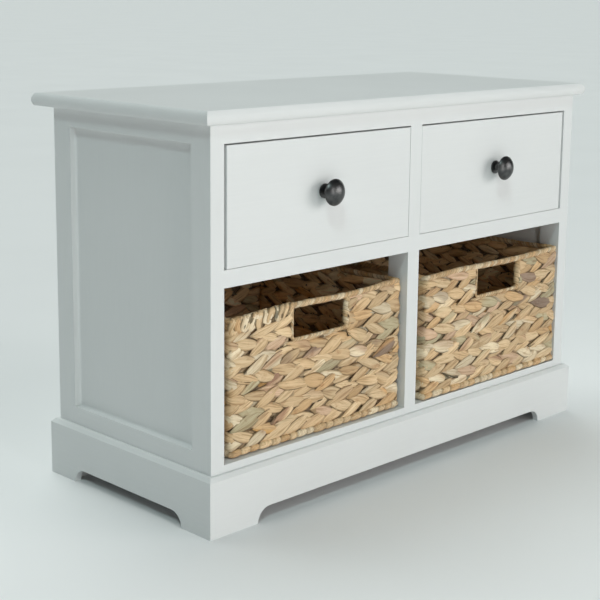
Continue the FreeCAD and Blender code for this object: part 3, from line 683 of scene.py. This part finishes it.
def plait_rows(heap, surface, length, low, high, rows, chance, limit, steps, painted_shade=1.0):
    """Rows of three-strand plait: an upper and a lower lane of leaves that meet in points."""
    pitch = (high - low) / rows
    count = round(length / LEAF_SPACING)
    spacing = length / count
    for row in range(rows):
        middle = low + (row + 0.5) * pitch
        row_shift = chance.uniform(0, spacing)
        for i in range(count):
            for lane in (1, -1):
                s = row_shift + (i + LANE_STAGGER * lane) * spacing + chance.gauss(0, ALONG_SPREAD)
                t = middle + lane * pitch * LANE_OFFSET + chance.gauss(0, HEIGHT_SPREAD)
                slope = (UPPER_SLOPE if lane > 0 else LOWER_SLOPE) + chance.gauss(0, SLOPE_SPREAD)
                long_leaf = LEAF_LENGTH * chance.uniform(*SIZE_SPREAD)
                wide_leaf = LEAF_WIDTH * chance.uniform(*SIZE_SPREAD)
                size = (long_leaf, wide_leaf, LEAF_BULGE * chance.uniform(*BULGE_SPREAD))
                lift = chance.uniform(-1.0, 1.0) * LEAF_LIFT
                share = chance.choice(TINT_SHARES)
                own, tint = pick_colour(chance), pick_colour(chance, TINT_COLOURS)
                # The factor darkens this layer's colours: painted shade for a layer lying under the outer
                # leaves.
                colours = (tuple(c * painted_shade for c in own), tuple(c * painted_shade for c in tint), share)
                kept = limit(s, t)
                if kept is not None:
                    settle = row_settle(kept, lift, middle, pitch)
                    leaf(heap, surface, s, t, slope, size, colours, chance, settle, steps)


def wall_limits(path_length, z_low, z_high, hole):
    """For a leaf's middle, how its points stay between foot and rim and out of the handle hole."""
    s0, s1, sill = hole

    def local_of(s):
        return np.mod(s + path_length / 2, path_length) - path_length / 2

    def limit(s, z):
        here = local_of(s)
        outside = {"left": s0 - here, "right": here - s1 - HOLE_OUTSET, "below": sill - z}
        side = max(outside, key=outside.get)
        if outside[side] < -HOLE_REACH:
            return None

        def kept(ss, zz, dd):
            base = ss - local_of(ss)
            ll = local_of(ss)
            near = (ll > s0 - HOLE_NEAR) & (ll < s1 + HOLE_NEAR)
            before = ll.copy(), zz.copy()
            if side == "left":
                ll = np.where(near, np.minimum(ll, s0 - JAMB_RADIUS), ll)
            elif side == "right":
                ll = np.where(near, np.maximum(ll, s1 + HOLE_OUTSET), ll)
            else:
                zz = np.where(near, np.minimum(zz, sill - CORD_RADIUS), zz)
            folded = np.abs(ll - before[0]) + np.abs(zz - before[1])
            return base + ll, np.clip(zz, z_low, z_high), dd - np.minimum(folded, FOLD_DIVE)
        return kept
    return limit


def floor_limits(span, reach):
    """How a floor leaf's points stay on the floor."""
    def kept(ss, tt, dd):
        return np.clip(ss, 0.0, span), np.clip(tt, 0.0, reach), dd

    def limit(s, t):
        return kept
    return limit


def rim_strips(heap, surface, rim_z, start, end, chance):
    """Strips of leaf folded over the rim and down into the first row."""
    over = RIM_RADIUS + STRIP_SKIN

    def settle(ss, zz, dd):
        zz = np.minimum(zz, rim_z + over - STRIP_BULGE)
        back = over - np.sqrt(np.clip(over ** 2 - np.clip(zz - rim_z, 0, over) ** 2, 0, None))
        near_rim = np.clip((zz - rim_z + STRIP_LIFT_REACH) / STRIP_LIFT_REACH, 0, 1)
        lift = STRIP_SKIN + near_rim * (over - RIM_DEPTH - STRIP_SKIN)
        return np.minimum(ss, end), zz, dd + lift - back

    s = start
    while s < end:
        colours = (plain_colour(chance), plain_colour(chance), 0.5)
        long_strip = STRIP_LENGTH * chance.uniform(0.85, 1.2)
        size = (long_strip, STRIP_WIDTH * chance.uniform(0.85, 1.15), STRIP_BULGE)
        slope = math.radians(chance.uniform(*STRIP_SLOPES))
        leaf(heap, surface, s, rim_z - STRIP_DROP, slope, size, colours, chance, settle, STRIP_STEPS, True)
        s += STRIP_SPACING * chance.uniform(0.8, 1.2)


# ---- wrapped tubes ------------------------------------------------------------------------------
def tube_faces(count, sides, closed):
    """Faces of a tube of many rings, joined end to end or closed with two caps."""
    faces = []
    for i in range(count if closed else count - 1):
        nxt = (i + 1) % count
        for j in range(sides):
            k = (j + 1) % sides
            faces.append([i * sides + j, i * sides + k, nxt * sides + k, nxt * sides + j])
    if not closed:
        faces.append(list(range(sides))[::-1])
        faces.append([(count - 1) * sides + j for j in range(sides)])
    return faces


def sideways(centres, normals, closed):
    """Unit directions across a line of centres, square to the line and to its normals."""
    tangents = np.roll(centres, -1, axis=0) - np.roll(centres, 1, axis=0)
    if not closed:
        tangents[0] = centres[1] - centres[0]
        tangents[-1] = centres[-1] - centres[-2]
    tangents /= np.linalg.norm(tangents, axis=1)[:, None]
    across = np.cross(tangents, normals)
    return across / np.linalg.norm(across, axis=1)[:, None]


def wrapped_tube(heap, centres, normals, radius, wrap, chance, closed, groove, twist):
    """A rod wound with flat leaf: a tube whose surface steps from one turn to the next."""
    count = len(centres)
    radii = np.broadcast_to(radius, count)
    across = sideways(centres, normals, closed)
    steps = np.linalg.norm(np.diff(centres, axis=0), axis=1)
    distance = np.concatenate([[0.0], np.cumsum(steps)])
    total = distance[-1] + (np.linalg.norm(centres[0] - centres[-1]) if closed else 0.0)
    edges = [0.0]
    while edges[-1] < total:
        edges.append(edges[-1] + wrap * chance.uniform(*WRAP_SPREAD))
    edges = np.array(edges)
    tones = np.array([plain_colour(chance) for _ in edges])
    bulges = np.array([chance.uniform(*WRAP_BULGES) for _ in edges])
    angle = np.linspace(0, 2 * math.pi, WRAP_SIDES, endpoint=False)
    points, colours, uvs = [], [], []
    for i in range(count):
        reached = distance[i] + wrap * twist * (np.sin(angle) + 1) / 2
        turn = np.clip(np.searchsorted(edges, reached) - 1, 0, len(edges) - 2)
        inside = np.clip((reached - edges[turn]) / (edges[turn + 1] - edges[turn]), 0, 1)
        from_middle = np.abs(2 * inside - 1)
        reach = radii[i] * (1 - groove * from_middle ** GROOVE_POWER) * bulges[turn]
        outward = np.outer(np.cos(angle) * reach, normals[i])
        points.append(centres[i] + outward + np.outer(np.sin(angle) * reach, across[i]))
        # Painted shade: each turn is darkened towards its edges, in the groove between turns.
        tone = tones[turn] * (1 - WRAP_PAINTED_SHADE * from_middle ** SHADE_POWER)[:, None]
        colours.append(np.concatenate([tone, np.ones((WRAP_SIDES, 1))], axis=1))
        uvs.append(np.stack([angle * 1.2 + turn * 3.7, inside * 0.8 + 0.1 + turn], axis=-1))
    faces = tube_faces(count, WRAP_SIDES, closed)
    heap.take(np.concatenate(points), faces, np.concatenate(colours), np.concatenate(uvs))


def ring_line(path, z, depth, wobble, chance):
    """Centre points and outward directions once round a basket."""
    count = int(path.length / RING_STEP)
    s = np.arange(count) * path.length / count
    x, y, nx, ny = path.at(s)
    sway = np.zeros(count)
    waves = []
    for _ in range(4):
        waves.append((chance.randint(2, 9), chance.uniform(0, ANY_ANGLE), chance.uniform(0.3, 1.0)))
    for turns, start, size in waves:
        sway = sway + size * np.sin(turns * s * 2 * math.pi / path.length + start)
    sway = sway / 2
    off = depth + wobble * sway
    centres = np.stack([x + nx * off, y + ny * off, z + wobble * np.roll(sway, count // 3)], axis=-1)
    normals = np.stack([nx, ny, np.zeros_like(nx)], axis=-1)
    return centres, normals


# ---- a basket -----------------------------------------------------------------------------------
class BasketShape:
    """Where one basket's wall, rim, foot, floor and handle hole run, read from its plain solids."""

    def __init__(self, side, body):
        self.side = side
        self.body = body
        low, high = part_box(body + "_walls")
        rim_low, rim_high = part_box(body + "_rim")
        foot_low, foot_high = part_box(body + "_foot")
        self.hole_low, self.hole_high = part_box(body + "_handle_binding")
        self.floor_low, self.floor_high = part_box(body + "_floor")
        inset = Vector((SURFACE_INSET, SURFACE_INSET, 0))
        self.path = WallPath(low + inset, high - inset, WALL_BEND)
        self.front_y = low.y + SURFACE_INSET
        self.bends = []
        for share, reach, rise in RIM_BENDS[side]:
            self.bends.append((low.x + share * (high.x - low.x), low.y, reach, rise))
        start_x = low.x + SURFACE_INSET + WALL_BEND
        hole_start = self.hole_low.x + BINDING - start_x
        hole_end = self.hole_high.x - BINDING - start_x
        self.hole = (hole_start, hole_end, self.hole_low.z + BINDING)
        self.z_low = foot_high.z + WALL_FOOT_GAP
        self.z_high = rim_low.z + WALL_RIM_OVERLAP
        self.rim_z = rim_high.z - RIM_RADIUS - RIM_GAP
        self.foot_z = foot_low.z + FOOT_RADIUS + FOOT_LIFT
        self.surface = wall_surface(self.path, self.bends, self.z_low, self.z_high)
        self.limit = wall_limits(self.path.length, self.z_low, self.z_high, self.hole)

    def plait(self, heap, surface, chance, steps, painted_shade=1.0):
        """Rows of leaves all round the wall, laid on a surface at some depth in it; a factor below one
        darkens their colours as painted shade.
        """
        plait_rows(
            heap, surface, self.path.length, self.z_low, self.z_high,
            PLAIT_ROWS, chance, self.limit, steps, painted_shade,
        )


def wall_plait(shape, chance, made):
    """The outside of the wall: a full layer of leaves over a second layer darkened as painted shade, which
    fills its gaps.
    """
    heap = Heap()
    shape.plait(heap, shape.surface, chance, FINE_STEPS)

    def under_surface(s, z, depth):
        return shape.surface(s, z, depth - UNDER_DEPTH)
    shape.plait(heap, under_surface, chance, PLAIN_STEPS, UNDER_PAINTED_SHADE)
    return heap.piece(shape.body + "_plait", made)


def wall_lining(shape, chance, made):
    """The inside of the wall, plaited like the outside and facing inwards."""
    heap = Heap()

    def inner_surface(s, z, depth):
        return shape.surface(s, z, -INNER_DEPTH - depth)
    shape.plait(heap, inner_surface, chance, PLAIN_STEPS)
    lining = heap.piece(shape.body + "_plait_inside", made)
    lining.data.flip_normals()
    return lining


def wall_core(shape, made):
    """The stems inside the plait: an outer and an inner sheet in the near-black painted-shade material, open
    at the handle hole.
    """
    length = shape.path.length
    heights = np.linspace(shape.z_low, shape.z_high, CORE_LINES)
    s = np.arange(CORE_COLUMNS) * length / CORE_COLUMNS
    grid_s, grid_z = np.meshgrid(s, heights, indexing="ij")
    sheets = []
    for depth in (CORE_OUTER_DEPTH, CORE_INNER_DEPTH):
        sheets.append(shape.surface(grid_s.ravel(), grid_z.ravel(), np.full(grid_s.size, -depth)))
    base = CORE_COLUMNS * CORE_LINES
    hole_start, hole_end, sill = shape.hole

    def open_at(i, j):
        middle_s = np.mod((i + 0.5) * length / CORE_COLUMNS + length / 2, length) - length / 2
        middle_z = (heights[j] + heights[j + 1]) / 2
        beside = hole_start - CORE_CLEARANCE < middle_s < hole_end + HOLE_OUTSET
        return beside and middle_z > sill - CORE_CLEARANCE

    faces = []
    for i in range(CORE_COLUMNS):
        nxt = (i + 1) % CORE_COLUMNS
        for j in range(CORE_LINES - 1):
            if open_at(i, j):
                continue
            a, b = i * CORE_LINES + j, nxt * CORE_LINES + j
            faces.append([a, b, b + 1, a + 1])
            faces.append([base + a, base + a + 1, base + b + 1, base + b])
    return mesh_piece(shape.body + "_core", np.concatenate(sheets), faces, made)


def floor_plait(shape, chance, made):
    """The plaited floor."""
    heap = Heap()
    surface = floor_surface(shape.floor_low, shape.floor_high.z - FLOOR_DEPTH)
    span = shape.floor_high.x - shape.floor_low.x
    reach = shape.floor_high.y - shape.floor_low.y
    plait_rows(
        heap, surface, span, 0.0, reach, FLOOR_ROWS, chance, floor_limits(span, reach), PLAIN_STEPS,
    )
    return heap.piece(shape.body + "_floor_plait", made)


def rim_wrap(shape, chance, made):
    """The wrapped rim, and on the left basket the strips folded over it beside the handle hole."""
    heap = Heap()
    centres, normals = ring_line(shape.path, shape.rim_z, -RIM_DEPTH, RIM_WOBBLE, chance)
    centres[:, 2] += rim_rise(shape.bends, centres[:, 0], centres[:, 1])
    wrapped_tube(heap, centres, normals, RIM_RADIUS, RIM_WRAP, chance, True, RIM_GROOVE, RIM_TWIST)
    if shape.side == "left":
        rim_strips(heap, shape.surface, shape.rim_z, STRIP_START, shape.hole[0], chance)
    return heap.piece(shape.body + "_rim_wrap", made)


def foot_rope(shape, chance, made):
    """The thick wrapped rope the basket stands on."""
    heap = Heap()
    centres, normals = ring_line(shape.path, shape.foot_z, -FOOT_DEPTH, FOOT_WOBBLE, chance)
    wrapped_tube(heap, centres, normals, FOOT_RADIUS, FOOT_WRAP, chance, True, FOOT_GROOVE, FOOT_TWIST)
    return heap.piece(shape.body + "_foot_rope", made)


def edge_line(shape):
    """The sill's height, and the edge of the handle hole as x, z and stage: 0 left, 1 sill, 2 right."""
    left = shape.hole_low.x + BINDING - JAMB_INSET
    sill = shape.hole_low.z + BINDING - CORD_DEPTH
    right = shape.hole_high.x - BINDING + POST_RADIUS + POST_OFFSET
    turn_left = (left + HOLE_BEND, sill + HOLE_BEND)
    turn_right = (right - HOLE_BEND, sill + HOLE_BEND)
    places = []

    def bend(centre, first, stage):
        for angle in np.linspace(first, first + math.pi / 2, EDGE_TURN_STEPS):
            x = centre[0] + HOLE_BEND * math.cos(angle)
            places.append((x, centre[1] + HOLE_BEND * math.sin(angle), stage))

    for z in np.arange(shape.rim_z, turn_left[1], -EDGE_STEP):
        places.append((left, z, 0.0))
    bend(turn_left, math.pi, 0.5)
    for x in np.arange(turn_left[0] + EDGE_STEP, turn_right[0], EDGE_STEP):
        places.append((x, sill, 1.0))
    bend(turn_right, 1.5 * math.pi, 1.5)
    for z in np.arange(turn_right[1] + EDGE_STEP, shape.rim_z, EDGE_STEP):
        places.append((right, z, 2.0))
    return sill, np.array(places).T


def handle_edge(shape, chance, made):
    """Leaf wound round the handle hole: thin on the left, a cord along the sill, thick on the right."""
    sill, (x, z, stage) = edge_line(shape)
    stages = (0.0, 1.0, 2.0)
    radius = np.interp(stage, stages, (JAMB_RADIUS, CORD_RADIUS, POST_RADIUS))
    deep = np.interp(stage, stages, (JAMB_DEPTH, CORD_DEPTH, POST_DEPTH))
    share = np.clip((z - sill) / (shape.rim_z - sill), 0, 1)
    z = z + share * rim_rise(shape.bends, x, np.full_like(x, shape.front_y))
    centres = np.stack([x, shape.front_y + deep, z], axis=-1)
    normals = np.tile(np.array([0.0, -1.0, 0.0]), (len(centres), 1))
    heap = Heap()
    wrapped_tube(heap, centres, normals, radius, EDGE_WRAP, chance, False, EDGE_GROOVE, EDGE_TWIST)
    return heap.piece(shape.body + "_handle_edge", made)


def basket(side, materials, seed):
    """One basket: plaited walls inside and out, floor, rim, foot rope and handle edge."""
    chance = random.Random(seed)
    body = side + "_basket"
    shape = BasketShape(side, body)
    walls = wall_plait(shape, chance, materials["leaf"])
    lining = wall_lining(shape, chance, materials["brightened_leaf_inside"])
    core = wall_core(shape, materials["core"])
    floor_piece = floor_plait(shape, chance, materials["brightened_leaf_inside"])
    rim_piece = rim_wrap(shape, chance, materials["leaf"])
    foot_piece = foot_rope(shape, chance, materials["leaf"])
    edge_piece = handle_edge(shape, chance, materials["leaf"])
    pieces = (walls, lining, core, floor_piece, rim_piece, foot_piece, edge_piece)
    for piece in pieces:
        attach(piece, body)
    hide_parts(body + "_walls")
    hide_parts(body + "_rim")
    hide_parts(body + "_foot")
    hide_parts(body + "_floor")
    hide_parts(body + "_handle_binding")
    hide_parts(body + "_wire_frame")


# ---- the cabinet's looks ------------------------------------------------------------------------
def cabinet_looks(materials):
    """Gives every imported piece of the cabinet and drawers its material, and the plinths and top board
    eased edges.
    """
    for name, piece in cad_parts.items():
        if "basket" in name:
            continue
        fitting = [look for look, ends in LOOKS if name.endswith(ends)]
        if not fitting:
            raise ValueError("no material chosen for " + name)
        piece.data.materials.clear()
        piece.data.materials.append(materials[fitting[0]])
        if name.endswith(EASED_PIECES):
            ease_edges(piece)


def ease_edges(piece):
    """Rounds the sharp edges as sanding and paint do."""
    easing = piece.modifiers.new("eased_edges", "BEVEL")
    easing.width = EDGE_EASE
    easing.segments = 2
    easing.limit_method = "ANGLE"
    easing.angle_limit = EASED_ANGLE
    easing.harden_normals = True


def panel_beads(materials):
    """The thin bead of paint in the corner between each side panel and its frame."""
    for side, sign in zip(SIDES, (-1, 1)):
        rail_low, rail_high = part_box(side + "_side_bottom_rail")
        top_low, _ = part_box(side + "_side_top_rail")
        panel_low, panel_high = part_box(side + "_side_panel")
        face = panel_low.x if sign < 0 else panel_high.x
        y0, y1 = rail_low.y, rail_high.y
        z0, z1 = rail_high.z, top_low.z
        corners = ((y0, z0, 1, 1), (y1, z0, -1, 1), (y1, z1, -1, -1), (y0, z1, 1, -1))
        hollow = BEAD_SIZE * BEAD_HOLLOW
        profile = ((0.0, 0.0), (BEAD_SIZE, 0.0), (hollow, hollow), (0.0, BEAD_SIZE))
        points, faces = [], []
        for y, z, step_y, step_z in corners:
            for inward, outward in profile:
                points.append((face + sign * outward, y + step_y * inward, z + step_z * inward))
        ring = len(profile)
        for c in range(len(corners)):
            d = (c + 1) % len(corners)
            for k in range(ring):
                m = (k + 1) % ring
                quad = [c * ring + k, d * ring + k, d * ring + m, c * ring + m]
                faces.append(quad if sign < 0 else quad[::-1])
        bead = mesh_piece(side + "_panel_bead", points, faces, materials["paint_z"], smooth=False)
        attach(bead, "carcass")


# ---- studio -------------------------------------------------------------------------------------
def camera():
    """The viewpoint: front left, a little above the seat."""
    data = bpy.data.cameras.new("viewpoint")
    data.lens = CAMERA_LENS
    data.sensor_width = CAMERA_SENSOR
    data.shift_y = CAMERA_SHIFT_Y
    data.clip_end = CAMERA_REACH
    view = bpy.data.objects.new("viewpoint", data)
    bpy.context.scene.collection.objects.link(view)
    turn = Matrix.Rotation(-CAMERA_HEADING, 4, "Z") @ Matrix.Rotation(math.pi / 2 + CAMERA_TILT, 4, "X")
    view.matrix_world = Matrix.Translation(CAMERA_PLACE) @ turn @ Matrix.Rotation(CAMERA_ROLL, 4, "Z")
    bpy.context.scene.camera = view


def soft_sun(name, toward, power, spread, colour):
    """An even light from far away, as soft as a studio lamp behind a wide diffuser."""
    data = bpy.data.lights.new(name, "SUN")
    data.energy = power
    data.angle = spread
    data.color = colour
    lamp = bpy.data.objects.new(name, data)
    bpy.context.scene.collection.objects.link(lamp)
    lamp.location = Vector(toward) * SUN_DISTANCE
    lamp.rotation_euler = Vector(toward).to_track_quat("Z", "Y").to_euler()


def soft_panel():
    """A tall narrow soft lamp in front, which draws the upright sheen on the knobs."""
    data = bpy.data.lights.new("front_panel", "AREA")
    data.shape = "RECTANGLE"
    data.size, data.size_y = PANEL_SIZE
    data.energy = PANEL_POWER
    data.color = KEY_COLOUR
    lamp = bpy.data.objects.new("front_panel", data)
    bpy.context.scene.collection.objects.link(lamp)
    lamp.location = PANEL_PLACE
    away = Vector(PANEL_PLACE) - Vector(PANEL_TARGET)
    lamp.rotation_euler = away.to_track_quat("Z", "Y").to_euler()
    lamp.visible_camera = False


def studio():
    """A pale floor, a faint even sky, three soft far lights and one panel in front."""
    half = FLOOR_SIZE / 2
    corners = [(-half, -half, 0), (half, -half, 0), (half, half, 0), (-half, half, 0)]
    floor = mesh_piece("studio_floor", corners, [[0, 1, 2, 3]], pale_floor(), smooth=False)
    world = bpy.data.worlds.new("studio")
    world.use_nodes = True
    background = next(node for node in world.node_tree.nodes if node.type == "BACKGROUND")
    background.inputs["Color"].default_value = (*SKY_COLOUR, 1.0)
    background.inputs["Strength"].default_value = SKY_STRENGTH
    bpy.context.scene.world = world
    soft_sun("key_light", KEY_FROM, KEY_POWER, KEY_SPREAD, KEY_COLOUR)
    soft_sun("fill_light", FILL_FROM, FILL_POWER, FILL_SPREAD, FILL_COLOUR)
    soft_sun("top_light", TOP_FROM, TOP_POWER, TOP_SPREAD, TOP_COLOUR)
    soft_panel()
    bpy.context.scene.view_settings.view_transform = "Standard"


# ---- everything ---------------------------------------------------------------------------------
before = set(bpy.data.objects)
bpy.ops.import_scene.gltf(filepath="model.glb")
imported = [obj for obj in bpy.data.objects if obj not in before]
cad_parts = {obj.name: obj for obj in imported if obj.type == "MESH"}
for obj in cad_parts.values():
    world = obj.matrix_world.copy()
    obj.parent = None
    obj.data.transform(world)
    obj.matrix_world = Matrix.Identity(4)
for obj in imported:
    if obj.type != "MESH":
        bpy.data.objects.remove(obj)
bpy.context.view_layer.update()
camera()
studio()
MATERIALS = {
    "paint_x": white_paint("paint_x", "X"),
    "paint_y": white_paint("paint_y", "Y"),
    "paint_z": white_paint("paint_z", "Z"),
    "pine_x": bare_wood("pine_x", "X", (0.86, 0.75, 0.57), (0.80, 0.66, 0.47), 34.0),
    "pine_y": bare_wood("pine_y", "Y", (0.86, 0.75, 0.57), (0.80, 0.66, 0.47), 34.0),
    "plywood": bare_wood("plywood", "X", (0.83, 0.73, 0.57), (0.79, 0.67, 0.50), 14.0),
    "knob": dark_knob_metal(),
    "zinc": plated_steel("zinc", (0.60, 0.60, 0.58), 0.35),
    "leaf": dry_leaf("dry_leaf", (1.0, 1.0, 1.0)),
    # The lining and floor take the leaf lightened by about a third: painted light on the inside of the
    # basket.
    "brightened_leaf_inside": dry_leaf("dry_leaf_inside", (1.30, 1.30, 1.28)),
    "core": leaf_shadow(),
}
cabinet_looks(MATERIALS)
panel_beads(MATERIALS)
basket("left", MATERIALS, LEFT_SEED)
basket("right", MATERIALS, RIGHT_SEED)
